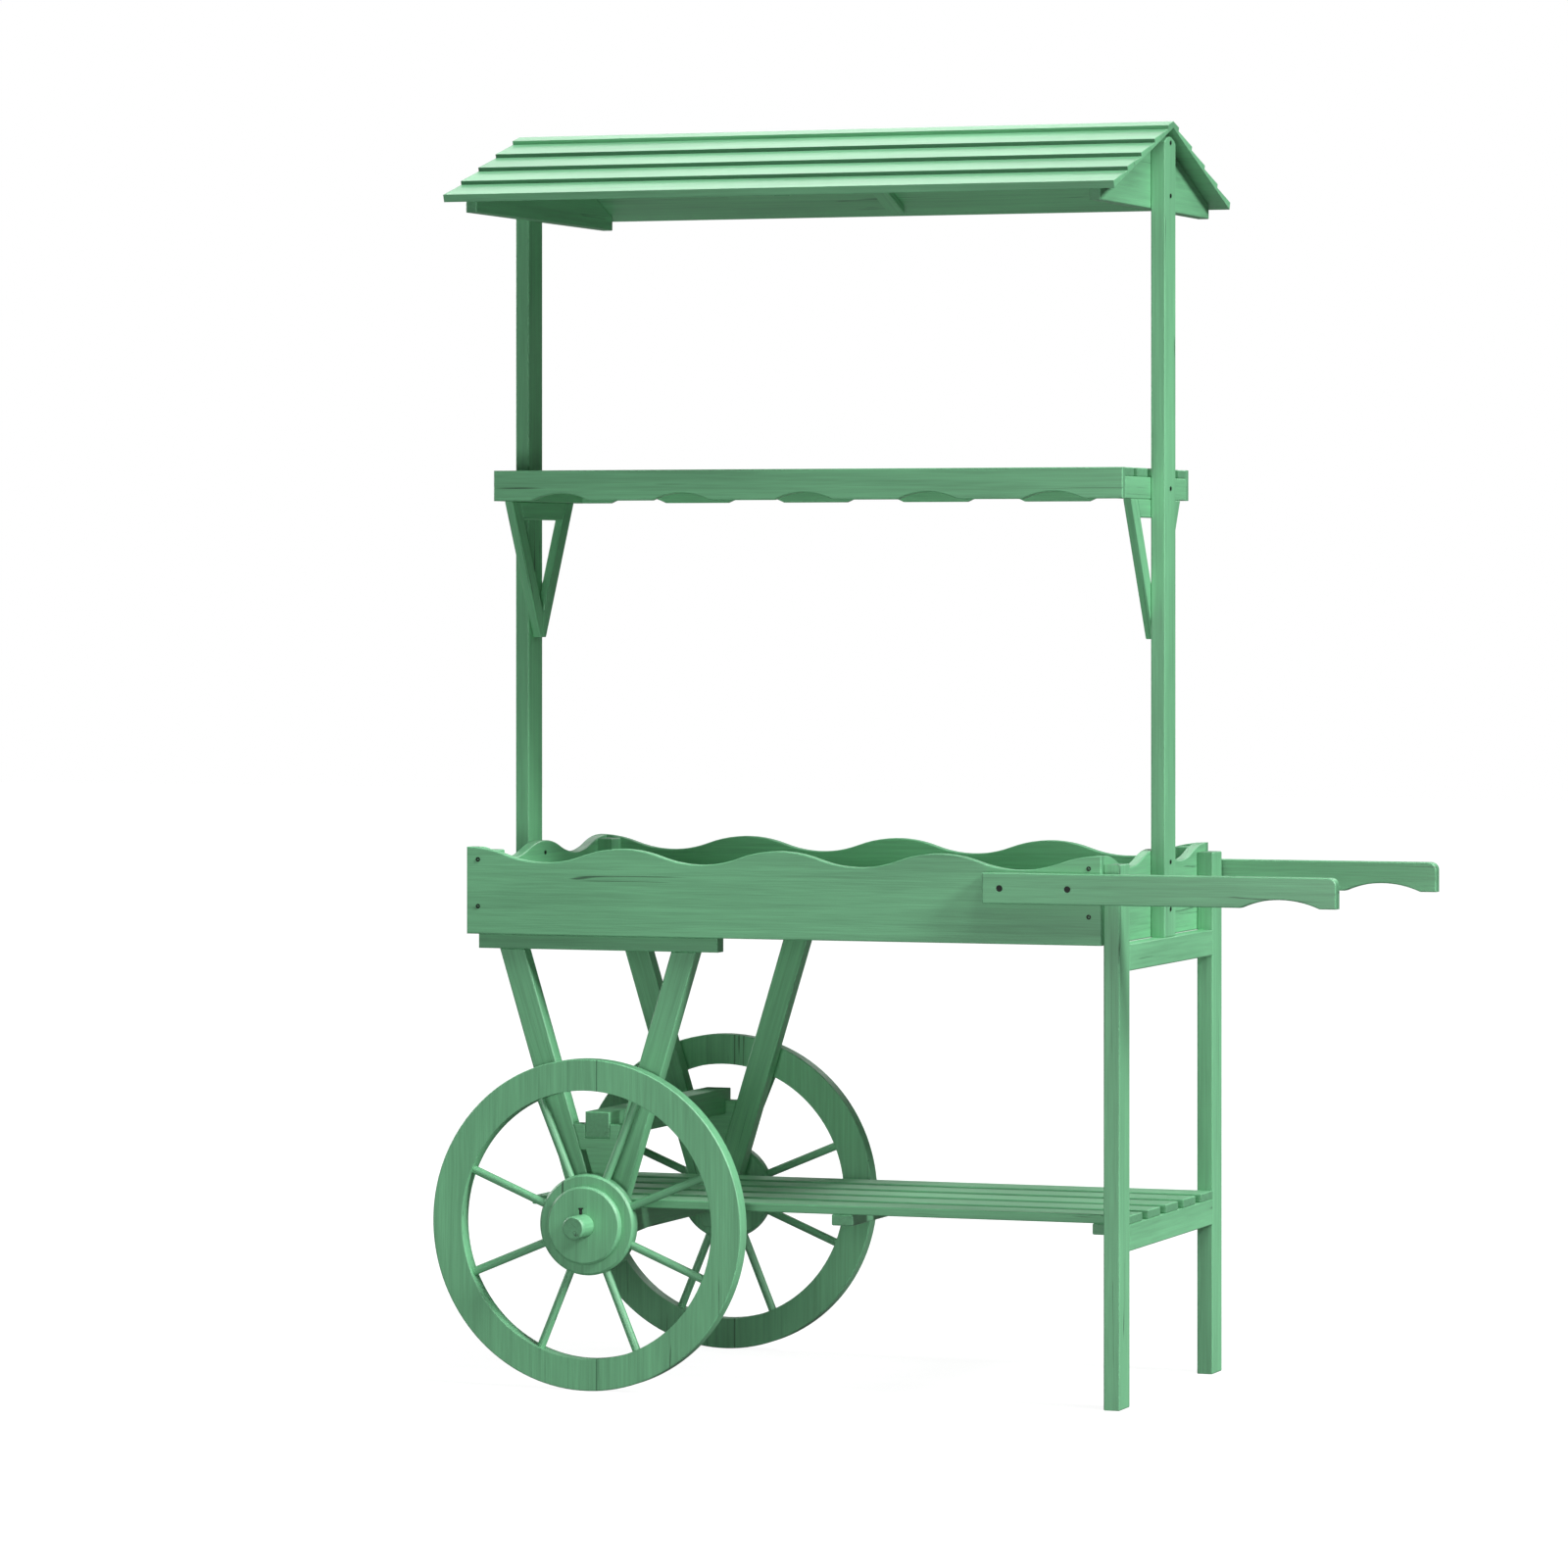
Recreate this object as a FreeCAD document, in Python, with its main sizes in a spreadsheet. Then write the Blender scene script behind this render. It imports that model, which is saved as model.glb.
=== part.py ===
"""Flower cart stand: a two-wheeled market cart of painted softwood boards, in millimetres.

X runs along the cart towards the handles, Y across it, Z up from the floor.
The origin lies on the floor, under the middle of the cart's box.
Lengths called reach are counted along X from the outer face of the left post.
"""
import FreeCAD, Part
import math
import os
import re
import Sketcher

# ---------------------------------------------------------------- driving sizes

SIZES = {
    # whole cart
    "cart_tall": 1455,           # floor to the top of the ridge
    "frame_long": 803.3,         # outer face of the left post to that of the right
    "edge_ease": 1.0,            # every sawn edge is eased by this much
    # posts that carry the shelf and the roof
    "post_thick": 17,
    "post_wide": 42,
    "post_head_rise": 7,         # arch on the head of the post
    "post_top_gap": 10,          # post head below the underside of the ridge
    # legs under the handle end
    "leg_thick": 19,
    "leg_wide": 38,
    "leg_tall": 610.5,
    "leg_inset": 8.5,            # leg behind the face of the tray board
    "leg_rail_tall": 30,
    # flower tray
    "tray_under": 520,           # height of its lower edge
    "tray_deep": 419,            # outside, front to rear
    "tray_board_thick": 12,
    "tray_board_tall": 100.5,    # up to the crest of the waves
    "tray_end_thick": 12,
    "tray_wave_rise": 8.5,       # crest above the mean line
    "ledge_wide": 20,            # ledges that carry the floor boards
    "ledge_tall": 15,
    "floor_board_thick": 10,
    "floor_board_gap": 4,
    "corner_block_thick": 18,
    "corner_block_wide": 30,
    "corner_block_drop": 4,      # block below the crest
    # handles
    "handle_tip_reach": 1062,
    "handle_long": 411,
    "handle_tall": 34.5,
    "handle_thick": 16,
    "handle_lift": 46,           # above the tray's lower edge
    "handle_tip_round": 9,
    "grip_long": 91,             # hand hollow in the lower edge
    "grip_deep": 9.5,
    "grip_to_tip": 19,
    # upper shelf
    "shelf_top": 1056.8,
    "shelf_deep": 258,
    "shelf_board_tall": 35.5,
    "shelf_board_thick": 11,
    "shelf_end_thick": 12,
    "shelf_slat_thick": 10,
    "shelf_slat_wide": 37.5,
    "shelf_slat_gap": 15,
    "scallop_long": 73,
    "scallop_deep": 8.5,
    "scallop_to_end": 83,        # first scallop's middle from the end of the board
    # shelf brackets
    "brace_thick": 10,
    "brace_across": 24.5,        # measured level
    "bracket_half": 96,          # half width at the top
    "bracket_tall": 160,
    "bracket_tip_half": 8.6,
    "bracket_cleat_tall": 21,
    # roof
    "roof_deep": 460,            # eave to eave
    "roof_overhang": 3.8,        # past the posts at each end
    "roof_pitch": 19.8,          # degrees
    "roof_board_thick": 9,       # lower edge of a tapered board
    "roof_board_thin": 4.5,      # upper edge of a tapered board
    "ridge_strip_wide": 20,
    "gable_long": 424,
    "gable_thick": 13.7,
    "gable_end_tall": 17,
    "rafter_wide": 20,
    "rafter_thick": 9,
    "rafter_setback": 14,        # from the end of the gables
    # undercarriage
    "wheel_reach": 175,
    "strut_lean": 17,            # degrees from upright
    "strut_wide": 29.25,
    "strut_thick": 20,
    "strut_cross_drop": 34.5,    # strut centre lines meet this far below the axle
    "strut_foot_drop": 40,       # feet of the struts below the axle
    "bearer_long": 296,
    "bearer_tall": 17,
    "spreader_lift": 83,         # above the axle's middle
    "spreader_tall": 30,
    "web_tall": 37,              # narrower part below the spreader
    "web_slot": 6,               # left open beside the left strut
    "tie_beam_side": 30,
    "tie_beam_lift": 14,         # tie beam above the spreaders
    "axle_beam_wide": 40,
    "axle_beam_tall": 30,
    "axle_radius": 13.5,
    "axle_end_out": 31,          # axle beyond the hub cap
    "axle_end_bevel": 2,
    "bore_gap": 0.08,            # all round the axle
    # wheels
    "wheel_radius": 190,
    "rim_wide": 36,
    "rim_thick": 20,
    "hub_radius": 58,
    "hub_thick": 16,
    "hub_cap_radius": 45,
    "hub_cap_thick": 10,
    "disc_bevel": 2.5,           # on the outer edges of hub and cap
    "spoke_radius": 4.8,
    "spoke_tenon": 10,           # let into the hub and into the rim
    "spacer_long": 17.7,
    "spacer_radius": 21,
    "side_play": 0.5,            # between spacer and hub
    # lower shelf
    "lower_slat_wide": 47,
    "lower_slat_thick": 10,
    "lower_slat_tail": 95,       # slats beyond the axle's middle
    "lower_slat_play": 0.5,      # between the outer slats and the legs
    "batten_wide": 25,
    "batten_tall": 12.8,
    "batten_spacing": 312,
    # screws
    "screw_radius": 1.6,
    "screw_head_radius": 2.7,
    "screw_head_tall": 1.6,
    "screw_long": 25,
    "handle_screw_radius": 2.2,
    "handle_screw_head_radius": 3.7,
    "handle_screw_setback": 20.5,    # first screw from the end of the handle
    "handle_screw_spacing": 80,
    "stop_screw_out": 7,             # beyond the hub cap
    "stop_screw_proud": 7.5,         # above the axle
    "stop_screw_sunk": 9,
}

# counts of what repeats
TRAY_WAVES_LONG = 4
TRAY_WAVES_DEEP = 2
FLOOR_BOARDS = 10
SCALLOPS = 5
ROOF_BOARDS = 4
LOWER_SLATS = 5
SPOKES = 8

# ---------------------------------------------------------------- derived places

PLACES = {
    # along X
    "left": "-(handle_tip_reach + wheel_reach - wheel_radius) / 2",
    "right": "left + frame_long",
    "inner_left": "left + post_thick",
    "inner_right": "right - post_thick",
    "middle": "(left + right) / 2",
    "leg_outer": "inner_right + leg_thick",
    "bay_left": "inner_left + tray_end_thick",
    "bay_right": "inner_right - tray_end_thick",
    "handle_tip": "left + handle_tip_reach",
    "handle_back": "handle_tip - handle_long",
    "wheel_x": "left + wheel_reach",
    # tray, across and up
    "tray_half": "tray_deep / 2",
    "tray_inner_half": "tray_half - tray_board_thick",
    "tray_crest": "tray_under + tray_board_tall",
    "floor_under": "tray_under + ledge_tall",
    "floor_top": "floor_under + floor_board_thick",
    "block_top": "tray_crest - corner_block_drop",
    "leg_outer_half": "tray_half - leg_inset",
    "leg_inner_half": "leg_outer_half - leg_wide",
    "handle_outer_half": "tray_half + handle_thick",
    "handle_under": "tray_under + handle_lift",
    "handle_top": "handle_under + handle_tall",
    "floor_board_wide": f"(bay_right - bay_left + floor_board_gap) / {FLOOR_BOARDS} - floor_board_gap",
    # shelf
    "shelf_half": "shelf_deep / 2",
    "shelf_inner_half": "shelf_half - shelf_board_thick",
    "shelf_under": "shelf_top - shelf_board_tall",
    "shelf_slat_under": "shelf_top - shelf_slat_thick",
    "shelf_slat_pitch": "shelf_slat_wide + shelf_slat_gap",
    "scallop_pitch": f"(inner_right - inner_left - 2 * scallop_to_end) / {SCALLOPS - 1}",
    "bracket_slope": "(bracket_half - bracket_tip_half) / bracket_tall",
    "bracket_inner_half": "bracket_half - brace_across",
    # roof, its taper and its ridge
    "roof_left": "left - roof_overhang",
    "roof_long": "frame_long + 2 * roof_overhang",
    "eave_half": "roof_deep / 2 - roof_board_thick * sin(roof_pitch)",
    "roof_slope_long": "eave_half / cos(roof_pitch)",
    "roof_board_wide": f"(roof_slope_long - ridge_strip_wide) / {ROOF_BOARDS}",
    "roof_taper": "(roof_board_thick - roof_board_thin) / roof_board_wide",
    "ridge_thin": "(roof_board_thick - roof_taper * ridge_strip_wide) / (1 + roof_taper * tan(roof_pitch))",
    "ridge_under": "cart_tall - ridge_thin / cos(roof_pitch)",
    "eave_under": "ridge_under - eave_half * tan(roof_pitch)",
    "gable_half": "gable_long / 2",
    "gable_shoulder": "ridge_under - gable_half * tan(roof_pitch)",
    "gable_under": "gable_shoulder - gable_end_tall",
    "rafter_deep": "rafter_thick / cos(roof_pitch)",
    "rafter_half": "gable_half - rafter_setback",
    "rafter_shoulder": "ridge_under - rafter_half * tan(roof_pitch)",
    "post_top": "ridge_under - post_top_gap",
    # undercarriage
    "axle_z": "wheel_radius",
    "strut_top": "tray_under - bearer_tall",
    "strut_inner_half": "tray_inner_half - strut_thick",
    "strut_slope": "tan(strut_lean)",
    "strut_level_half": "strut_wide / cos(strut_lean) / 2",
    "strut_cross": "axle_z - strut_cross_drop",
    "strut_fork": "strut_cross + strut_level_half / strut_slope",
    "strut_foot": "axle_z - strut_foot_drop",
    "spreader_under": "axle_z + spreader_lift",
    "spreader_top": "spreader_under + spreader_tall",
    "web_under": "spreader_under - web_tall",
    "tie_beam_top": "spreader_top + tie_beam_lift",
    "tie_beam_under": "tie_beam_top - tie_beam_side",
    "slat_under": "axle_z + axle_beam_tall / 2",
    "rail_under": "slat_under - leg_rail_tall",
    "bore_radius": "axle_radius + bore_gap",
    # wheels, across
    "hub_inner_half": "tray_inner_half + spacer_long + side_play",
    "hub_outer_half": "hub_inner_half + hub_thick",
    "rim_inner_half": "hub_inner_half + (hub_thick - rim_thick) / 2",
    "cap_outer_half": "hub_outer_half + hub_cap_thick",
    "axle_half": "cap_outer_half + axle_end_out",
    "rim_inner_radius": "wheel_radius - rim_wide",
    # lower shelf
    "slat_half_span": "leg_inner_half - lower_slat_play",
    "lower_slat_pitch": f"(2 * slat_half_span - lower_slat_wide) / {LOWER_SLATS - 1}",
    "batten_under": "slat_under - batten_tall",
}


def fill_sheet(sheet, table, as_cell):
    """Write one named row for each entry of the table."""
    for row, (alias, entry) in enumerate(table.items(), 1):
        sheet.set(f"A{row}", alias)
        sheet.set(f"B{row}", as_cell(entry))
        sheet.setAlias(f"B{row}", alias)


def spelled(rule, own=()):
    """Put the sheet's name before every size and place in a rule; names in own stay bare."""
    def owner(match):
        name = match.group(0)
        if name in own:
            return name
        if name in SIZES:
            return "Sizes." + name
        if name in PLACES:
            return "Places." + name
        return name
    return re.sub(r"[a-z_]\w*", owner, rule)


doc = FreeCAD.newDocument("flower_cart")
size_sheet = doc.addObject("Spreadsheet::Sheet", "Sizes")
fill_sheet(size_sheet, SIZES, str)
doc.recompute()
place_sheet = doc.addObject("Spreadsheet::Sheet", "Places")
fill_sheet(place_sheet, PLACES, lambda rule: "=" + spelled(rule, PLACES))
doc.recompute()

pieces = {}


def number(rule):
    """The value that a rule has now."""
    return float(size_sheet.evalExpression(spelled(rule)))


def bind(thing, **rules):
    """Tie properties to rules; a double underscore stands for the dot in a property's path."""
    for path, rule in rules.items():
        thing.setExpression(path.replace("__", "."), spelled(rule))


def keep(label, thing):
    """Take a finished object as the sub-part of this name."""
    thing.Label = label
    pieces[label] = thing
    return thing


# ---------------------------------------------------------------- sketches and boards

def arc_between(start, end, radius, side):
    """The short arc between two points; side 1 puts its centre on the left of the way, -1 on the right."""
    chord = end - start
    left_hand = FreeCAD.Vector(-chord.y, chord.x, 0).normalize()
    centre_off = math.sqrt(max(radius ** 2 - chord.Length ** 2 / 4, 0))
    centre = (start + end) / 2 + left_hand * side * centre_off
    first, last = (start, end) if side > 0 else (end, start)
    from_angle = math.atan2(first.y - centre.y, first.x - centre.x)
    to_angle = math.atan2(last.y - centre.y, last.x - centre.x)
    if to_angle < from_angle:
        to_angle += 2 * math.pi
    circle = Part.Circle(centre, FreeCAD.Vector(0, 0, 1), radius)
    return Part.ArcOfCircle(circle, from_angle, to_angle)


def draw_outline(sketch, corners):
    """Draw a closed outline and tie every corner and radius to its rule.

    A corner is (across, up), or (across, up, radius, side) where an arc leaves it.
    """
    points = [FreeCAD.Vector(number(corner[0]), number(corner[1]), 0) for corner in corners]
    edges = []
    for index, corner in enumerate(corners):
        start = points[index]
        end = points[(index + 1) % len(points)]
        if len(corner) == 4:
            edges.append(arc_between(start, end, number(corner[2]), corner[3]))
        else:
            edges.append(Part.LineSegment(start, end))
    first = sketch.GeometryCount
    sketch.addGeometry(edges, False)

    def end_at(edge, point):
        """Which end of the edge lies at the point: 1 for its start, 2 for its end."""
        start = sketch.Geometry[first + edge].StartPoint
        return 1 if (start - point).Length < 1e-6 else 2

    ties = []
    rules = []
    for index, corner in enumerate(corners):
        point = points[index]
        here = (first + index, end_at(index, point))
        before = (index - 1) % len(corners)
        ties.append(Sketcher.Constraint("DistanceX", -1, 1, *here, point.x))
        rules.append(corner[0])
        ties.append(Sketcher.Constraint("DistanceY", -1, 1, *here, point.y))
        rules.append(corner[1])
        ties.append(Sketcher.Constraint("Coincident", first + before, end_at(before, point), *here))
        rules.append(None)
        if len(corner) == 4:
            ties.append(Sketcher.Constraint("Radius", here[0], number(corner[2])))
            rules.append(corner[2])
    tie_rules(sketch, ties, rules)


def draw_circle(sketch, across, up, radius):
    """Draw a circle with its centre and radius tied to rules."""
    centre = FreeCAD.Vector(number(across), number(up), 0)
    index = sketch.addGeometry(Part.Circle(centre, FreeCAD.Vector(0, 0, 1), number(radius)), False)
    ties = [
        Sketcher.Constraint("DistanceX", -1, 1, index, 3, centre.x),
        Sketcher.Constraint("DistanceY", -1, 1, index, 3, centre.y),
        Sketcher.Constraint("Radius", index, number(radius)),
    ]
    tie_rules(sketch, ties, [across, up, radius])


def tie_rules(sketch, ties, rules):
    """Add constraints and give each one its rule."""
    numbers = sketch.addConstraint(ties)
    for constraint, rule in zip(numbers, rules):
        if rule is not None:
            sketch.setExpression(f"Constraints[{constraint}]", spelled(rule))


# each plane's role, the axis a pad grows along, and whether the pad has to be turned round
PLANES = {"side": ("XZ_Plane", "y", True), "end": ("YZ_Plane", "x", False), "flat": ("XY_Plane", "z", False)}


def padded(body, face, thick, corners=(), circles=()):
    """Pad one outline, or circles, drawn on the body's own plane."""
    role, _, turned = PLANES[face]
    plane = next(feature for feature in body.Origin.OriginFeatures if feature.Role == role)
    sketch = body.newObject("Sketcher::SketchObject", "Sketch")
    sketch.AttachmentSupport = [(plane, "")]
    sketch.MapMode = "FlatFace"
    if corners:
        draw_outline(sketch, corners)
    for circle in circles:
        draw_circle(sketch, *circle)
    pad = body.newObject("PartDesign::Pad", "Pad")
    pad.Profile = sketch
    pad.Reversed = turned
    bind(pad, Length=thick)
    doc.recompute()
    return pad


def broad_faces(shape, axis):
    """Names of the flat faces that look along an axis."""
    names = []
    for index, face in enumerate(shape.Faces, 1):
        if isinstance(face.Surface, Part.Plane) and abs(abs(getattr(face.Surface.Axis, axis)) - 1) < 1e-6:
            names.append(f"Face{index}")
    return names


def sawn(label, face, low, thick, corners):
    """A sawn piece: the outline of its broad face, its thickness, and where its lower face lies.

    All edges of both broad faces are eased.
    """
    body = doc.addObject("PartDesign::Body", "Body")
    axis = PLANES[face][1]
    pad = padded(body, face, thick, corners)
    ease(body, pad, broad_faces(pad.Shape, axis), "edge_ease")
    bind(body, **{"Placement__Base__" + axis: low})
    return keep(label, body)


def turned(label, low, thick, outer, inner, bevel="edge_ease"):
    """A ring around the axle, from its outer and inner radius; its two outer edges are bevelled."""
    body = doc.addObject("PartDesign::Body", "Body")
    pad = padded(body, "side", thick, circles=[("0", "0", outer), ("0", "0", inner)])
    rims = []
    for index, edge in enumerate(pad.Shape.Edges, 1):
        if isinstance(edge.Curve, Part.Circle) and abs(edge.Curve.Radius - number(outer)) < 1e-6:
            rims.append(f"Edge{index}")
    ease(body, pad, rims, bevel)
    bind(body, Placement__Base__x="wheel_x", Placement__Base__y=low, Placement__Base__z="axle_z")
    return keep(label, body)


def ease(body, pad, where, size):
    """Take off the sharp edges of the faces or edges named."""
    chamfer = body.newObject("PartDesign::Chamfer", "Chamfer")
    chamfer.Base = (pad, where)
    bind(chamfer, Size=size)


def box_corners(across_low, across_high, up_low, up_high):
    """Corners of a plain rectangle."""
    return [(across_low, up_low), (across_high, up_low), (across_high, up_high), (across_low, up_high)]


def mirrored(corners):
    """The same outline on the other side of the upright axis."""
    return [(f"-({across})", up) for across, up in reversed(corners)]


def grouped(label, members):
    """Several like solids as one sub-part."""
    for index, member in enumerate(members, 1):
        pieces.pop(member.Label, None)
        member.Label = f"{label} {index}"
    group = doc.addObject("Part::Compound", "Group")
    group.Links = members
    return keep(label, group)


def drilled(label, tool):
    """Cut a tool's shape out of a piece that is there already."""
    blank = pieces.pop(label)
    blank.Label = label + " blank"
    cut = doc.addObject("Part::Cut", "Cut")
    cut.Base = blank
    cut.Tool = tool
    return keep(label, cut)


# ---------------------------------------------------------------- screws

SCREW_TURNS = {
    "+y": (FreeCAD.Vector(1, 0, 0), -90),
    "-y": (FreeCAD.Vector(1, 0, 0), 90),
    "-z": (FreeCAD.Vector(1, 0, 0), 180),
}


def screw(heading, x, y, z, radius="screw_radius", head="screw_head_radius", long="screw_long"):
    """A screw driven along heading, with the outer face of its head at the point given."""
    turn = FreeCAD.Rotation(*SCREW_TURNS[heading])
    rods = []
    for rod_radius, rod_long in ((radius, long), (head, "screw_head_tall")):
        rod = doc.addObject("Part::Cylinder", "Rod")
        bind(rod, Radius=rod_radius, Height=rod_long)
        rods.append(rod)
    whole = doc.addObject("Part::Fuse", "Screw")
    whole.Base, whole.Tool = rods
    whole.Placement = FreeCAD.Placement(FreeCAD.Vector(0, 0, 0), turn)
    bind(whole, Placement__Base__x=x, Placement__Base__y=y, Placement__Base__z=z)
    return whole


def make_screws():
    """The screws that hold the handles, and those that stop the wheels on the axle."""
    handle = []
    for face, heading in (("-handle_outer_half", "+y"), ("handle_outer_half", "-y")):
        for setback in ("handle_screw_setback", "handle_screw_setback + handle_screw_spacing"):
            x = "handle_back + " + setback
            z = "(handle_under + handle_top) / 2"
            handle.append(screw(heading, x, face, z, "handle_screw_radius", "handle_screw_head_radius"))
    grouped("handle_screws", handle)

    stop = []
    for y in ("-(cap_outer_half + stop_screw_out)", "cap_outer_half + stop_screw_out"):
        head_z = "axle_z + axle_radius + stop_screw_proud"
        stop.append(screw("-z", "wheel_x", y, head_z, long="stop_screw_proud + stop_screw_sunk"))
    grouped("axle_stop_screws", stop)


# ---------------------------------------------------------------- posts and legs

def make_posts():
    """Two posts with arched heads, outside the ends of the tray and the shelf."""
    head_radius = "(post_wide ^ 2 / 4 + post_head_rise ^ 2) / (2 * post_head_rise)"
    corners = [
        ("-post_wide / 2", "tray_under"),
        ("post_wide / 2", "tray_under"),
        ("post_wide / 2", "post_top - post_head_rise", head_radius, 1),
        ("-post_wide / 2", "post_top - post_head_rise"),
    ]
    sawn("post_left", "end", "left", "post_thick", corners)
    sawn("post_right", "end", "inner_right", "post_thick", corners)


def make_legs():
    """Two legs, with a rail under the tray and a rail that carries the lower slats."""
    for name, near, far in (("front_leg", "-leg_outer_half", "-leg_inner_half"),
                            ("rear_leg", "leg_inner_half", "leg_outer_half")):
        sawn(name, "end", "inner_right", "leg_thick", box_corners(near, far, "0", "leg_tall"))
    for name, low in (("leg_top_rail", "tray_under - leg_rail_tall"), ("leg_lower_rail", "rail_under")):
        corners = box_corners("-leg_inner_half", "leg_inner_half", low, low + " + leg_rail_tall")
        sawn(name, "end", "inner_right", "leg_thick", corners)


# ---------------------------------------------------------------- flower tray

def wavy_corners(low_end, high_end, under, crest, waves):
    """A board with a straight foot and whole waves along its top, a crest at each end.

    Each wave is two equal arcs that run smoothly into each other.
    """
    pitch = f"(({high_end}) - ({low_end})) / {waves}"
    radius = f"(({pitch}) ^ 2 / 16 + tray_wave_rise ^ 2) / (2 * tray_wave_rise)"
    mean = f"{crest} - tray_wave_rise"
    corners = [(low_end, under), (high_end, under), (high_end, crest, radius, 1)]
    side = -1
    for step in range(2 * waves):
        across = f"{high_end} - ({pitch}) * {0.25 + step / 2}"
        corners.append((across, mean, radius, side))
        side = -side
    corners.append((low_end, crest))
    return corners


def make_tray():
    """Wave-topped box: long boards outside, end boards between them, floor boards on ledges."""
    long_board = wavy_corners("inner_left", "inner_right", "tray_under", "tray_crest", TRAY_WAVES_LONG)
    sawn("tray_front_board", "side", "-tray_half", "tray_board_thick", long_board)
    sawn("tray_rear_board", "side", "tray_inner_half", "tray_board_thick", long_board)
    end_board = wavy_corners("-tray_inner_half", "tray_inner_half", "tray_under", "tray_crest", TRAY_WAVES_DEEP)
    sawn("tray_end_left", "end", "inner_left", "tray_end_thick", end_board)
    sawn("tray_end_right", "end", "bay_right", "tray_end_thick", end_board)

    ledges = []
    for name, low in (("front", "-tray_inner_half"), ("rear", "tray_inner_half - ledge_wide")):
        corners = box_corners("bay_left", "bay_right", "tray_under", "floor_under")
        ledges.append(sawn("ledge " + name, "side", low, "ledge_wide", corners))
    grouped("tray_ledges", ledges)

    boards = []
    for index in range(FLOOR_BOARDS):
        low = f"bay_left + {index} * (floor_board_wide + floor_board_gap)"
        corners = box_corners(low, low + " + floor_board_wide", "-tray_inner_half", "tray_inner_half")
        boards.append(sawn(f"floor {index}", "flat", "floor_under", "floor_board_thick", corners))
    grouped("tray_floor_boards", boards)

    blocks = []
    for x in ("bay_left", "bay_right - corner_block_thick"):
        for y in ("-tray_inner_half", "tray_inner_half - corner_block_wide"):
            corners = box_corners(x, x + " + corner_block_thick", y, y + " + corner_block_wide")
            blocks.append(sawn("block " + x + y, "flat", "floor_top", "block_top - floor_top", corners))
    grouped("tray_corner_blocks", blocks)


def make_handles():
    """Two handles screwed to the outside of the tray, each with a hand hollow and a rounded tip."""
    grip_far = "handle_tip - grip_to_tip"
    grip_radius = "(grip_long ^ 2 / 4 + grip_deep ^ 2) / (2 * grip_deep)"
    corners = [
        ("handle_back", "handle_under"),
        (grip_far + " - grip_long", "handle_under", grip_radius, -1),
        (grip_far, "handle_under"),
        ("handle_tip", "handle_under"),
        ("handle_tip", "handle_top - handle_tip_round", "handle_tip_round", 1),
        ("handle_tip - handle_tip_round", "handle_top"),
        ("handle_back", "handle_top"),
    ]
    sawn("handle_front", "side", "-handle_outer_half", "handle_thick", corners)
    sawn("handle_rear", "side", "tray_half", "handle_thick", corners)


# ---------------------------------------------------------------- upper shelf

def make_shelf():
    """Slatted shelf between the posts, its long boards scalloped along the lower edge."""
    radius = "(scallop_long ^ 2 / 4 + scallop_deep ^ 2) / (2 * scallop_deep)"
    corners = [("inner_left", "shelf_under")]
    for index in range(SCALLOPS):
        middle = f"inner_left + scallop_to_end + {index} * scallop_pitch"
        corners.append((middle + " - scallop_long / 2", "shelf_under", radius, -1))
        corners.append((middle + " + scallop_long / 2", "shelf_under"))
    corners.append(("inner_right", "shelf_under"))
    corners.append(("inner_right", "shelf_top"))
    corners.append(("inner_left", "shelf_top"))
    sawn("shelf_front_board", "side", "-shelf_half", "shelf_board_thick", corners)
    sawn("shelf_rear_board", "side", "shelf_inner_half", "shelf_board_thick", corners)

    end_corners = box_corners("-shelf_inner_half", "shelf_inner_half", "shelf_under", "shelf_slat_under")
    sawn("shelf_end_left", "end", "inner_left", "shelf_end_thick", end_corners)
    sawn("shelf_end_right", "end", "inner_right - shelf_end_thick", "shelf_end_thick", end_corners)

    outer_edge = "1.5 * shelf_slat_pitch + shelf_slat_gap / 2"
    edges = [("-shelf_inner_half", f"-({outer_edge})"), (outer_edge, "shelf_inner_half")]
    for step in (-1, 0, 1):
        middle = f"{step} * shelf_slat_pitch"
        edges.append((middle + " - shelf_slat_wide / 2", middle + " + shelf_slat_wide / 2"))
    slats = []
    for low, high in edges:
        corners = box_corners("inner_left", "inner_right", low, high)
        slats.append(sawn("slat " + low, "flat", "shelf_slat_under", "shelf_slat_thick", corners))
    grouped("shelf_slats", slats)


def make_brackets():
    """A V of two mitred braces and a cleat under each end of the shelf."""
    tip = "shelf_under - bracket_tall"
    cleat_under = "shelf_under - bracket_cleat_tall"
    rear_brace = [
        ("0", tip),
        ("bracket_tip_half", tip),
        ("bracket_half", "shelf_under"),
        ("bracket_inner_half", "shelf_under"),
        ("0", "shelf_under - bracket_inner_half / bracket_slope"),
    ]
    cleat_half = "(bracket_inner_half - bracket_cleat_tall * bracket_slope)"
    cleat = [
        ("-" + cleat_half, cleat_under),
        (cleat_half, cleat_under),
        ("bracket_inner_half", "shelf_under"),
        ("-bracket_inner_half", "shelf_under"),
    ]
    for name, low in (("left", "inner_left"), ("right", "inner_right - brace_thick")):
        sawn(f"brace_{name}_rear", "end", low, "brace_thick", rear_brace)
        sawn(f"brace_{name}_front", "end", low, "brace_thick", mirrored(rear_brace))
        sawn(f"bracket_cleat_{name}", "end", low, "brace_thick", cleat)


# ---------------------------------------------------------------- roof

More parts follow.
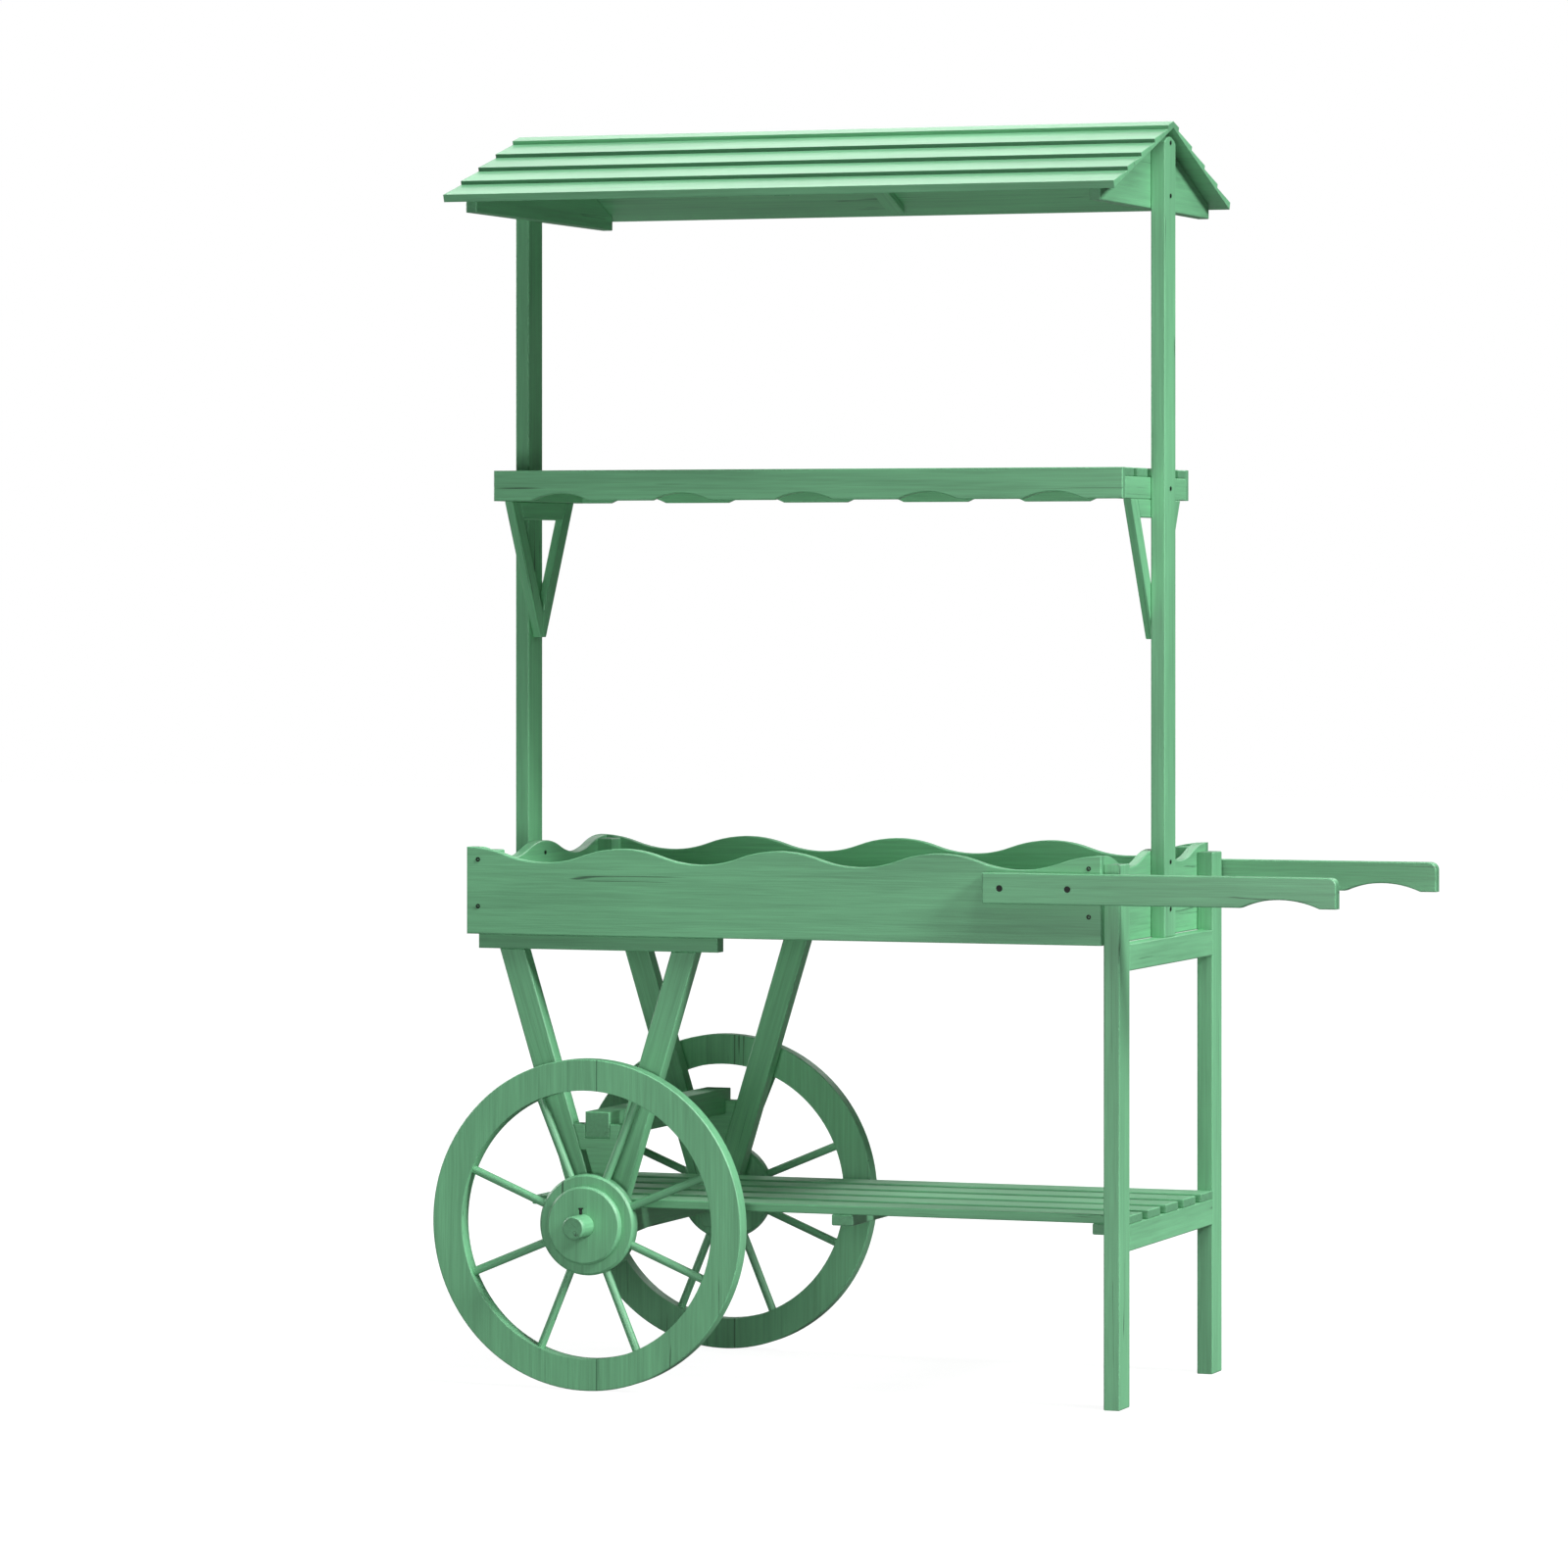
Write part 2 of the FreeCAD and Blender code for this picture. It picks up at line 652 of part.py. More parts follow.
def roof_piece(label, side, corners):
    """A roof board drawn on the slope: along it from the eave, and square up from its underside."""
    if side > 0:
        corners = mirrored(corners)
    body = doc.addObject("PartDesign::Body", "Body")
    padded(body, "end", "roof_long", corners)
    turn = FreeCAD.Rotation(FreeCAD.Vector(-side, 0, 0), number("roof_pitch"))
    body.Placement = FreeCAD.Placement(FreeCAD.Vector(0, 0, 0), turn)
    sign = "-" if side < 0 else ""
    bind(body, Placement__Base__x="roof_left", Placement__Base__z="eave_under",
         Placement__Base__y=sign + "eave_half", Placement__Rotation__Angle="roof_pitch")
    return keep(label, body)


def make_roof():
    """Tapered boards that lap like shingles, a strip on each side of the ridge, gables, rafters."""
    for name, side in (("front", -1), ("rear", 1)):
        boards = []
        for index in range(ROOF_BOARDS):
            low = f"{index} * roof_board_wide"
            high = f"{index + 1} * roof_board_wide"
            corners = [(low, "0"), (high, "0"), (high, "roof_board_thin"), (low, "roof_board_thick")]
            boards.append(roof_piece(f"board {index}", side, corners))
        grouped("roof_boards_" + name, boards)
        low = f"{ROOF_BOARDS} * roof_board_wide"
        strip = [
            (low, "0"),
            ("roof_slope_long", "0"),
            ("roof_slope_long + ridge_thin * tan(roof_pitch)", "ridge_thin"),
            (low, "roof_board_thick"),
        ]
        roof_piece("ridge_strip_" + name, side, strip)

    gable = [
        ("-gable_half", "gable_under"),
        ("gable_half", "gable_under"),
        ("gable_half", "gable_shoulder"),
        ("0", "ridge_under"),
        ("-gable_half", "gable_shoulder"),
    ]
    sawn("gable_left", "end", "inner_left", "gable_thick", gable)
    sawn("gable_right", "end", "inner_right - gable_thick", "gable_thick", gable)

    rafter = [
        ("0", "ridge_under - rafter_deep"),
        ("rafter_half", "rafter_shoulder - rafter_deep"),
        ("rafter_half", "rafter_shoulder"),
        ("0", "ridge_under"),
    ]
    sawn("rafter_rear", "end", "middle - rafter_wide / 2", "rafter_wide", rafter)
    sawn("rafter_front", "end", "middle - rafter_wide / 2", "rafter_wide", mirrored(rafter))


# ---------------------------------------------------------------- undercarriage

def strut_half(z):
    """Distance of a strut's centre line from the wheel's middle at a height."""
    return f"(({z}) - strut_cross) * strut_slope"


def shifted(corners, middle):
    """The outline moved along, so that its own zero lies at the middle given."""
    return [(f"{middle} + ({corner[0]})", *corner[1:]) for corner in corners]


def make_struts():
    """Under each side of the tray a bearer, two leaning struts, the spreader and its web between them."""
    right_strut = [
        ("0", "strut_foot"),
        (strut_half("strut_foot") + " + strut_level_half", "strut_foot"),
        (strut_half("strut_top") + " + strut_level_half", "strut_top"),
        (strut_half("strut_top") + " - strut_level_half", "strut_top"),
        ("0", "strut_fork"),
    ]
    web_half = strut_half("web_under") + " - strut_level_half"
    low_half = strut_half("spreader_under") + " - strut_level_half"
    top_half = strut_half("spreader_top") + " - strut_level_half"
    spreader = [
        (f"-({low_half})", "spreader_under"),
        (f"web_slot - ({low_half})", "spreader_under"),
        (f"web_slot - ({web_half})", "web_under"),
        (web_half, "web_under"),
        (top_half, "spreader_top"),
        ("tie_beam_side / 2", "spreader_top"),
        ("tie_beam_side / 2", "tie_beam_under"),
        ("-tie_beam_side / 2", "tie_beam_under"),
        ("-tie_beam_side / 2", "spreader_top"),
        (f"-({top_half})", "spreader_top"),
    ]
    bearer = box_corners("-bearer_long / 2", "bearer_long / 2", "strut_top", "tray_under")
    for name, low in (("front", "-tray_inner_half"), ("rear", "strut_inner_half")):
        for hand, corners in (("right", right_strut), ("left", mirrored(right_strut))):
            label = f"strut_{name}_{hand}"
            sawn(label, "side", low, "strut_thick", shifted(corners, "wheel_x"))
            bore = doc.addObject("Part::Cylinder", "Bore")
            bore.Placement = FreeCAD.Placement(FreeCAD.Vector(0, 0, 0), FreeCAD.Rotation(*SCREW_TURNS["+y"]))
            bind(bore, Radius="bore_radius", Height="strut_thick",
                 Placement__Base__x="wheel_x", Placement__Base__y=low, Placement__Base__z="axle_z")
            drilled(label, bore)
        sawn("spreader_" + name, "side", low, "strut_thick", shifted(spreader, "wheel_x"))
        sawn("bearer_" + name, "side", low, "strut_thick", shifted(bearer, "wheel_x"))
    tie_beam = box_corners("-tie_beam_side / 2", "tie_beam_side / 2", "tie_beam_under", "tie_beam_top")
    sawn("tie_beam", "side", "-tray_inner_half", "2 * tray_inner_half", shifted(tie_beam, "wheel_x"))


def make_axle():
    """A square beam between the struts whose ends are turned round to carry the wheels."""
    body = doc.addObject("PartDesign::Body", "Body")
    beam = box_corners("-axle_beam_wide / 2", "axle_beam_wide / 2", "-axle_beam_tall / 2", "axle_beam_tall / 2")
    for thick, corners, circles in (("2 * strut_inner_half", beam, ()),
                                    ("2 * axle_half", (), [("0", "0", "axle_radius")])):
        pad = padded(body, "side", thick, corners, circles)
        pad.SideType = "Symmetric"
        doc.recompute()
    ends = []
    for index, face in enumerate(pad.Shape.Faces, 1):
        box = face.BoundBox
        if box.YLength < 1e-3 and abs(abs(box.YMax) - number("axle_half")) < 1e-3:
            ends.append(f"Face{index}")
    ease(body, pad, ends, "axle_end_bevel")
    bind(body, Placement__Base__x="wheel_x", Placement__Base__z="axle_z")
    keep("axle", body)

    spacers = []
    for low in ("-tray_inner_half - spacer_long", "tray_inner_half"):
        spacers.append(turned("spacer " + low, low, "spacer_long", "spacer_radius", "bore_radius"))
    grouped("axle_spacers", spacers)


# ---------------------------------------------------------------- wheels

def make_wheel(name, side):
    """A rim, eight round spokes let into rim and hub, the hub disc and its smaller cap."""
    if side < 0:
        rim_low, hub_low, cap_low = "-rim_inner_half - rim_thick", "-hub_outer_half", "-cap_outer_half"
    else:
        rim_low, hub_low, cap_low = "rim_inner_half", "hub_inner_half", "hub_outer_half"
    turned(name + "_rim", rim_low, "rim_thick", "wheel_radius", "rim_inner_radius")
    turned(name + "_hub", hub_low, "hub_thick", "hub_radius", "bore_radius", "disc_bevel")
    turned(name + "_hub_cap", cap_low, "hub_cap_thick", "hub_cap_radius", "bore_radius", "disc_bevel")

    spokes = []
    inner = "(hub_radius - spoke_tenon)"
    for index in range(SPOKES):
        angle = 360 / SPOKES * (index + 0.5)
        spoke = doc.addObject("Part::Cylinder", "Spoke")
        turn = FreeCAD.Rotation(FreeCAD.Vector(0, 1, 0), angle)
        spoke.Placement = FreeCAD.Placement(FreeCAD.Vector(0, 0, 0), turn)
        bind(spoke, Radius="spoke_radius", Height=f"rim_inner_radius + spoke_tenon - {inner}",
             Placement__Base__x=f"wheel_x + {inner} * sin({angle})",
             Placement__Base__y=rim_low + " + rim_thick / 2",
             Placement__Base__z=f"axle_z + {inner} * cos({angle})")
        spokes.append(spoke)
    group = grouped(name + "_spokes", spokes)
    drilled(name + "_rim", group)
    drilled(name + "_hub", group)


# ---------------------------------------------------------------- lower shelf

def make_lower_shelf():
    """Slats from the axle beam to the lower rail, with two battens underneath."""
    slats = []
    for index in range(LOWER_SLATS):
        low = f"-slat_half_span + {index} * lower_slat_pitch"
        corners = box_corners("wheel_x - lower_slat_tail", "leg_outer", low, low + " + lower_slat_wide")
        slats.append(sawn(f"slat {index}", "flat", "slat_under", "lower_slat_thick", corners))
    grouped("lower_slats", slats)
    battens = []
    for low in ("inner_right - batten_wide", "inner_right - batten_wide - batten_spacing"):
        corners = box_corners(low, low + " + batten_wide", "-slat_half_span", "slat_half_span")
        battens.append(sawn("batten " + low, "flat", "batten_under", "batten_tall", corners))
    grouped("lower_battens", battens)


# ---------------------------------------------------------------- the whole cart

SCREWED = {
    "handle_screws": ("handle_front", "handle_rear", "tray_front_board", "tray_rear_board"),
    "axle_stop_screws": ("axle",),
}

make_screws()
make_posts()
make_legs()
make_tray()
make_handles()
make_shelf()
make_brackets()
make_roof()
make_struts()
make_axle()
make_wheel("front_wheel", -1)
make_wheel("rear_wheel", 1)
make_lower_shelf()
for screws, boards in SCREWED.items():
    for board in boards:
        drilled(board, pieces[screws])
doc.recompute()

for item in doc.Objects:
    if {"Invalid", "Error"} & set(item.State):
        raise RuntimeError(f"{item.Label} did not build: {item.State}")

os.makedirs("parts", exist_ok=True)
for label, piece in sorted(pieces.items()):
    shape = piece.Shape
    if shape.isNull() or not shape.isValid() or not shape.Solids:
        raise RuntimeError(label + " has no sound solid")
    shape.exportStep(f"parts/{label}.step")
    box = shape.BoundBox
    print(f"{label:22s} {len(shape.Solids):3d} solid(s) {shape.Volume / 1000:9.1f} cm3"
          f"  X {box.XMin:7.1f} {box.XMax:7.1f}  Y {box.YMin:7.1f} {box.YMax:7.1f}  Z {box.ZMin:7.1f} {box.ZMax:7.1f}")
print(len(pieces), "sub-parts")
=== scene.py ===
# %% [markdown]
# # A flower cart in stained pine
# The object is a small market cart for plants: a tray on two wheels and two legs, a slatted shelf
# above it and a gable roof of lapped boards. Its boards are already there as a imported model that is
# right in shape and size, so this lesson is about finishes: how plain boards come to look like pine
# under a thin coat of green stain. A few small things that the model leaves out are made here too.

# %% Load the cart
import math

import bpy
from mathutils import Euler, Matrix, Vector


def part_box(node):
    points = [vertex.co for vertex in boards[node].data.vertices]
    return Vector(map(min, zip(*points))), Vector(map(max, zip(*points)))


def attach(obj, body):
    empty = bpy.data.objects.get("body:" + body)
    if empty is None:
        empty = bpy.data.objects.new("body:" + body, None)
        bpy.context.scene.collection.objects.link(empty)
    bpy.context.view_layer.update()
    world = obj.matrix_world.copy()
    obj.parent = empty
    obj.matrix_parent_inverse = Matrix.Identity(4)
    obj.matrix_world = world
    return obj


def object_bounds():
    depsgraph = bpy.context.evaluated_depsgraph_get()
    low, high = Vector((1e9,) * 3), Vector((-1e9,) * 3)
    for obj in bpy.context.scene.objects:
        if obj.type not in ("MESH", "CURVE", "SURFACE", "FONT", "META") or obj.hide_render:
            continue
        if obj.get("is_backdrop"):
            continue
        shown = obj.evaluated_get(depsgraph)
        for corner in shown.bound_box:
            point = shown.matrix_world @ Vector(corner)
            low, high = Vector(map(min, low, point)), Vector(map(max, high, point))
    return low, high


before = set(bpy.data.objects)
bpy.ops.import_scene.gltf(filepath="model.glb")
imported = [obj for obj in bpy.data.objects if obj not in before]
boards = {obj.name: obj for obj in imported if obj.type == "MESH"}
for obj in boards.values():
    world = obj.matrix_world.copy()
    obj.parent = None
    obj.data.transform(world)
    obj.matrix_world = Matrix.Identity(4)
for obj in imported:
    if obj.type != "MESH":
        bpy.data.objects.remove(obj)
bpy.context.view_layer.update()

# %% [markdown]
# ## Two small tools
# Colours are easiest to read as hex values, the way a paint chart gives them, but Blender's shaders
# work in linear light, so one function turns the first into the second. The other function adds a
# shader node, sets it up and links it in one line, which keeps each recipe short enough to read.

# %% Colour and node tools
MM = 0.001


def stain_colour(hex_value):
    """An sRGB hex value as linear red, green, blue and alpha."""
    channels = [int(hex_value[i:i + 2], 16) / 255 for i in (1, 3, 5)]
    linear = [c / 12.92 if c <= 0.04045 else ((c + 0.055) / 1.055) ** 2.4 for c in channels]
    return (*linear, 1.0)


def add_node(tree, kind, settings=None, inputs=None):
    """Add a node, set its properties, and give each input a value or a link."""
    node = tree.nodes.new(kind)
    for name, value in (settings or {}).items():
        setattr(node, name, value)
    for name, value in (inputs or {}).items():
        if isinstance(value, bpy.types.NodeSocket):
            tree.links.new(value, node.inputs[name])
        else:
            node.inputs[name].default_value = value
    return node


print("green of the stain, linear:", [round(c, 3) for c in stain_colour("#68A67C")])

# %% [markdown]
# ## How pine looks under stain
# Stain is thin: the wood shows through as streaks that run with the grain, a little darker in the
# late wood of each year ring. So the pattern is worked out in a space whose first axis is the
# grain, and every layer of it is a noise whose patches are long in that direction and narrow across.
# Three layers are enough: clouds where the wood drank more stain, streaks a few millimetres wide,
# and pores. Their sum says how deep the green is at each point.

# %% The grain's own space
BOARD_STEP = 3.7            # how far apart the patterns of two neighbouring boards lie


def object_part(tree, axis):
    """One of the object's own coordinates."""
    place = add_node(tree, "ShaderNodeTexCoord").outputs["Object"]
    return add_node(tree, "ShaderNodeSeparateXYZ", None, {"Vector": place}).outputs[axis]


def grain_space(tree, grain, shift, centre=None):
    """A vector socket whose X runs with the grain; a centre makes the grain run outward from it."""
    place = add_node(tree, "ShaderNodeTexCoord").outputs["Object"]
    if centre is None:
        turn = Vector(grain).rotation_difference(Vector((1, 0, 0))).to_euler()
        return add_node(tree, "ShaderNodeMapping", None,
                        {"Vector": place, "Rotation": turn, "Location": shift}).outputs["Vector"]
    about = add_node(tree, "ShaderNodeMapping", None,
                     {"Vector": place, "Location": [-c for c in centre]})
    part = add_node(tree, "ShaderNodeSeparateXYZ", None, {"Vector": about.outputs["Vector"]})
    angle = add_node(tree, "ShaderNodeMath", {"operation": "ARCTAN2"},
                     {0: part.outputs["X"], 1: part.outputs["Z"]})
    flat = add_node(tree, "ShaderNodeCombineXYZ", None,
                    {"X": part.outputs["X"], "Y": part.outputs["Z"]})
    radius = add_node(tree, "ShaderNodeVectorMath", {"operation": "LENGTH"},
                      {0: flat.outputs["Vector"]})
    outward = add_node(tree, "ShaderNodeCombineXYZ", None,
                       {"X": radius.outputs["Value"], "Y": angle.outputs[0],
                        "Z": part.outputs["Y"]})
    return outward.outputs["Vector"]


def board_number(tree, axis, first, pitch):
    """A number that is the same all over one board of a row, and differs from board to board."""
    from_first = add_node(tree, "ShaderNodeMath", {"operation": "SUBTRACT"},
                          {0: object_part(tree, axis), 1: first})
    in_pitches = add_node(tree, "ShaderNodeMath", {"operation": "DIVIDE"},
                          {0: from_first.outputs[0], 1: pitch})
    whole = add_node(tree, "ShaderNodeMath", {"operation": "FLOOR"}, {0: in_pitches.outputs[0]})
    return add_node(tree, "ShaderNodeMath", {"operation": "MULTIPLY"},
                    {0: whole.outputs[0], 1: BOARD_STEP}).outputs[0]


def patches(tree, space, seed, along, across, detail):
    """Noise around 0.5 whose patches have the length and the width given, in metres."""
    drawn = add_node(tree, "ShaderNodeVectorMath", {"operation": "MULTIPLY"},
                     {0: space, 1: (1 / along, 1 / across, 1 / across)})
    noise = add_node(tree, "ShaderNodeTexNoise", {"noise_dimensions": "4D"},
                     {"Vector": drawn.outputs["Vector"], "W": seed, "Scale": 1.0, "Detail": detail})
    return noise.outputs["Fac"]


def step_between(tree, value, low, high, result=1.0):
    """0 up to the low value, then rising to the result at the high one."""
    ramp = add_node(tree, "ShaderNodeMapRange", None,
                    {"Value": value, "From Min": low, "From Max": high, "To Max": result})
    return ramp.outputs["Result"]


def facing(tree, way, low, high, result):
    """How far a face looks along the direction, from 0 to the result."""
    normal = add_node(tree, "ShaderNodeTexCoord").outputs["Normal"]
    along = add_node(tree, "ShaderNodeVectorMath", {"operation": "DOT_PRODUCT"},
                     {0: normal, 1: way})
    return step_between(tree, along.outputs["Value"], low, high, result)


print("patterns are drawn in the grain's own space")

# %% [markdown]
# ## The stained pine itself
# Softwood, planed and brushed with a water-based green stain. It gives the eye a soft, even sheen
# and a mid green. Here and there the wood has opened along the grain in a short dark check: these
# are drawn where a slow noise crosses its middle value, which gives thin wavering lines, and only
# inside rare patches. Cut ends are darker, because they drink more stain. The lower edges of the roof
# boards' laps are painted darker too, as painted shade for the shadow under each lap. The edge of the
# lowest roof board gets no painted shade and stays as light as the rest. The arrises are a little
# rounded, as sanded edges are, so that they catch the light.

# %% Stained pine
STAIN_DEEP = stain_colour("#58906A")
STAIN_THIN = stain_colour("#80CE99")
CHECK_DARK = stain_colour("#1E3A29")
# dark of the joints and cut ends, also used as painted shade under the roof boards' laps
JOINT_DARK_AND_LAP_SHADE = stain_colour("#2C5A3E")
# length, width, detail and weight of each layer
LAYERS = ((0.30, 0.045, 3.0, 0.75), (0.17, 0.0042, 2.0, 0.70), (0.035, 0.0009, 0.0, 0.35))
SEEDS_APART = 10            # from the shift of a piece's pattern to the seed of its noise
# length, width and detail of the noise that the checks follow, and of the patches that hold them
CHECK_NOISE, CHECK_PATCHES = (0.40, 0.010, 1.0), (0.15, 0.011, 0.0)
# a check begins this far from the middle value, and has its full depth here
CHECK_BEGINS, CHECK_FULL = 0.016, 0.005
PATCH_BEGINS, PATCH_FULL, CHECK_STRENGTH = 0.69, 0.73, 0.75
# how squarely a face has to look along the grain to count as a cut end
END_BEGINS, END_FULL, END_STRENGTH = 0.7, 0.95, 0.35
# the same for a roof board's lower edge, which gets painted shade under its lap, and how far from the
# ridge the laps stop
EDGE_BEGINS, EDGE_FULL = 0.6, 0.9
LAPS_STOP, LAPS_FULL, LAP_SHADE_STRENGTH = 0.222, 0.218, 0.75
JOINT_BEGINS, JOINT_FULL = 1.1 * MM, 0.4 * MM
ARRIS_RADIUS, ARRIS_SAMPLES = 1.2 * MM, 4
GRAIN_RELIEF, GRAIN_STRENGTH = 0.3 * MM, 0.3
SMOOTHEST, ROUGHEST = 0.42, 0.62


def stained_pine(name, grain, shift, row=None, centre=None, lap_shade_facing=None, joints=()):
    """The cart's one finish, with its grain along the direction given."""
    material = bpy.data.materials.new("stained_pine_" + name)
    material.use_nodes = True
    tree = material.node_tree
    tree.nodes.clear()
    space = grain_space(tree, grain, shift, centre)
    seed = board_number(tree, *row) if row else SEEDS_APART * shift[0]

    depth = 0.5 - sum(weight for *_, weight in LAYERS) / 2
    for along, across, detail, weight in LAYERS:
        layer = patches(tree, space, seed, along, across, detail)
        depth = add_node(tree, "ShaderNodeMath", {"operation": "MULTIPLY_ADD"},
                         {0: layer, 1: weight, 2: depth}).outputs[0]
    pores = layer
    colour = add_node(tree, "ShaderNodeMix", {"data_type": "RGBA"},
                      {"Factor": depth, 6: STAIN_DEEP, 7: STAIN_THIN}).outputs[2]

    # the roof boards' lap edges get painted shade, for the shadow under each lap; other pieces get
    # cut ends darkened by the stain
    if lap_shade_facing:
        from_ridge = add_node(tree, "ShaderNodeMath", {"operation": "ABSOLUTE"},
                              {0: object_part(tree, "Y")})
        laps = step_between(tree, from_ridge.outputs[0], LAPS_STOP, LAPS_FULL, LAP_SHADE_STRENGTH)
        lower_edges = facing(tree, lap_shade_facing, EDGE_BEGINS, EDGE_FULL, 1.0)
        soak_and_lap_shade = add_node(tree, "ShaderNodeMath", {"operation": "MULTIPLY"},
                        {0: laps, 1: lower_edges}).outputs[0]
    else:
        ends = facing(tree, grain, END_BEGINS, END_FULL, END_STRENGTH)
        other_ends = facing(tree, [-c for c in grain], END_BEGINS, END_FULL, END_STRENGTH)
        soak_and_lap_shade = add_node(tree, "ShaderNodeMath", {"operation": "ADD"},
                        {0: ends, 1: other_ends}).outputs[0]
    colour = add_node(tree, "ShaderNodeMix", {"data_type": "RGBA"},
                      {"Factor": soak_and_lap_shade, 6: colour, 7: JOINT_DARK_AND_LAP_SHADE}).outputs[2]

    for place, strength in joints:
        past_joint = add_node(tree, "ShaderNodeMath", {"operation": "SUBTRACT"},
                              {0: object_part(tree, "X"), 1: place})
        off_joint = add_node(tree, "ShaderNodeMath", {"operation": "ABSOLUTE"},
                             {0: past_joint.outputs[0]})
        line = step_between(tree, off_joint.outputs[0], JOINT_BEGINS, JOINT_FULL, strength)
        colour = add_node(tree, "ShaderNodeMix", {"data_type": "RGBA"},
                          {"Factor": line, 6: colour, 7: JOINT_DARK_AND_LAP_SHADE}).outputs[2]

    slow = patches(tree, space, seed, *CHECK_NOISE)
    past_middle = add_node(tree, "ShaderNodeMath", {"operation": "SUBTRACT"}, {0: slow, 1: 0.5})
    off_middle = add_node(tree, "ShaderNodeMath", {"operation": "ABSOLUTE"},
                          {0: past_middle.outputs[0]})
    line = step_between(tree, off_middle.outputs[0], CHECK_BEGINS, CHECK_FULL)
    rare = step_between(tree, patches(tree, space, seed, *CHECK_PATCHES),
                        PATCH_BEGINS, PATCH_FULL, CHECK_STRENGTH)
    checks = add_node(tree, "ShaderNodeMath", {"operation": "MULTIPLY"},
                      {0: line, 1: rare}).outputs[0]
    colour = add_node(tree, "ShaderNodeMix", {"data_type": "RGBA"},
                      {"Factor": checks, 6: colour, 7: CHECK_DARK}).outputs[2]

    height = add_node(tree, "ShaderNodeMath", {"operation": "SUBTRACT"}, {0: pores, 1: checks})
    rounded = add_node(tree, "ShaderNodeBevel", {"samples": ARRIS_SAMPLES},
                       {"Radius": ARRIS_RADIUS}).outputs["Normal"]
    relief = add_node(tree, "ShaderNodeBump", None,
                      {"Height": height.outputs[0], "Strength": GRAIN_STRENGTH,
                       "Distance": GRAIN_RELIEF, "Normal": rounded})
    gloss = add_node(tree, "ShaderNodeMapRange", None,
                     {"Value": pores, "To Min": SMOOTHEST, "To Max": ROUGHEST})
    shader = add_node(tree, "ShaderNodeBsdfPrincipled", None,
                      {"Base Color": colour, "Roughness": gloss.outputs["Result"],
                       "IOR": 1.5, "Normal": relief.outputs["Normal"],
                       "Coat Weight": 0.5, "Coat Roughness": 0.38, "Coat Normal": rounded})
    add_node(tree, "ShaderNodeOutputMaterial", None, {"Surface": shader.outputs["BSDF"]})
    return material


print("layers of the stain, in millimetres:", [(1000 * a, 1000 * b) for a, b, *_ in LAYERS])

# %% [markdown]
# ## Which way each board runs
# A joiner cuts every board so that its grain runs along its length. The table below says which way
# that is for each piece: along the cart, across it, upright, or leaning with a strut or a brace.
# Pieces that come as a row of boards also get the row's direction and pitch, so that two
# neighbours never carry the same streaks.

# %% Grain table
ALONG, ACROSS, UPRIGHT = (1, 0, 0), (0, 1, 0), (0, 0, 1)


def leaning(degrees, plane):
    """A direction that leans from upright, towards +X or towards +Y."""
    tilt = math.radians(degrees)
    if plane == "x":
        return (math.sin(tilt), 0, math.cos(tilt))
    return (0, math.sin(tilt), math.cos(tilt))


GRAIN = {
    "roof_boards": ALONG, "ridge_strip": ALONG, "tray_front_board": ALONG, "tray_rear_board": ALONG,
    "tray_ledges": ALONG, "handle_front": ALONG, "handle_rear": ALONG, "shelf_front_board": ALONG,
    "shelf_rear_board": ALONG, "shelf_slats": ALONG, "bearer": ALONG, "spreader": ALONG,
    "lower_slats": ALONG, "tray_end": ACROSS, "tray_floor": ACROSS, "shelf_end": ACROSS,
    "gable": ACROSS, "tie_beam": ACROSS, "axle": ACROSS, "leg_top_rail": ACROSS,
    "leg_lower_rail": ACROSS, "lower_battens": ACROSS, "bracket_cleat": ACROSS,
    "post_left": UPRIGHT, "post_right": UPRIGHT, "front_leg": UPRIGHT, "rear_leg": UPRIGHT,
    "tray_corner_blocks": UPRIGHT, "front_wheel": UPRIGHT, "rear_wheel": UPRIGHT,
}
STRUT_LEAN, BRACE_LEAN, ROOF_PITCH = 17, 28.6, 19.8       # degrees
LEANING = {
    "strut_front_left": leaning(-STRUT_LEAN, "x"), "strut_rear_left": leaning(-STRUT_LEAN, "x"),
    "strut_front_right": leaning(STRUT_LEAN, "x"), "strut_rear_right": leaning(STRUT_LEAN, "x"),
    "brace_left_front": leaning(-BRACE_LEAN, "y"), "brace_right_front": leaning(-BRACE_LEAN, "y"),
    "brace_left_rear": leaning(BRACE_LEAN, "y"), "brace_right_rear": leaning(BRACE_LEAN, "y"),
    "rafter_rear": leaning(90 + ROOF_PITCH, "y"), "rafter_front": leaning(-90 - ROOF_PITCH, "y"),
}
# the axis that a row of boards runs along, where its first board starts, and its pitch
ROWS = {
    "roof_boards_front": ("Y", -0.2300, 0.05204), "roof_boards_rear": ("Y", 0.0215, 0.05204),
    "shelf_slats": ("Y", -0.13125, 0.0525), "lower_slats": ("Y", -0.1740, 0.0695),
    "tray_floor_boards": ("X", -0.4945, 0.07493),
}
DOWN_SLOPE = math.radians(ROOF_PITCH)
# which way the roof boards' lap edges face; these faces get painted shade
LAP_SHADE_FACING = {
    "roof_boards_front": (0, -math.cos(DOWN_SLOPE), -math.sin(DOWN_SLOPE)),
    "roof_boards_rear": (0, math.cos(DOWN_SLOPE), -math.sin(DOWN_SLOPE)),
}
WHEEL_X = -0.3485
# place along X and strength of the joints in a rim
RIM_JOINTS = ((WHEEL_X + 13.6 * MM, 0.8), (WHEEL_X - 21.8 * MM, 0.3))
# steps in metres that set the patterns of two pieces apart; two of them come round again
STEP_LONG, STEP_WIDE, STEP_TALL = 0.37, 0.113, 0.071
WIDE_STEPS, TALL_STEPS = 7, 5
dark_fasteners = [name for name in boards if name.endswith("_screws")]


def grain_of(name):
    """The direction of a piece's grain."""
    if name in LEANING:
        return LEANING[name]
    return next(way for start, way in GRAIN.items() if name.startswith(start))


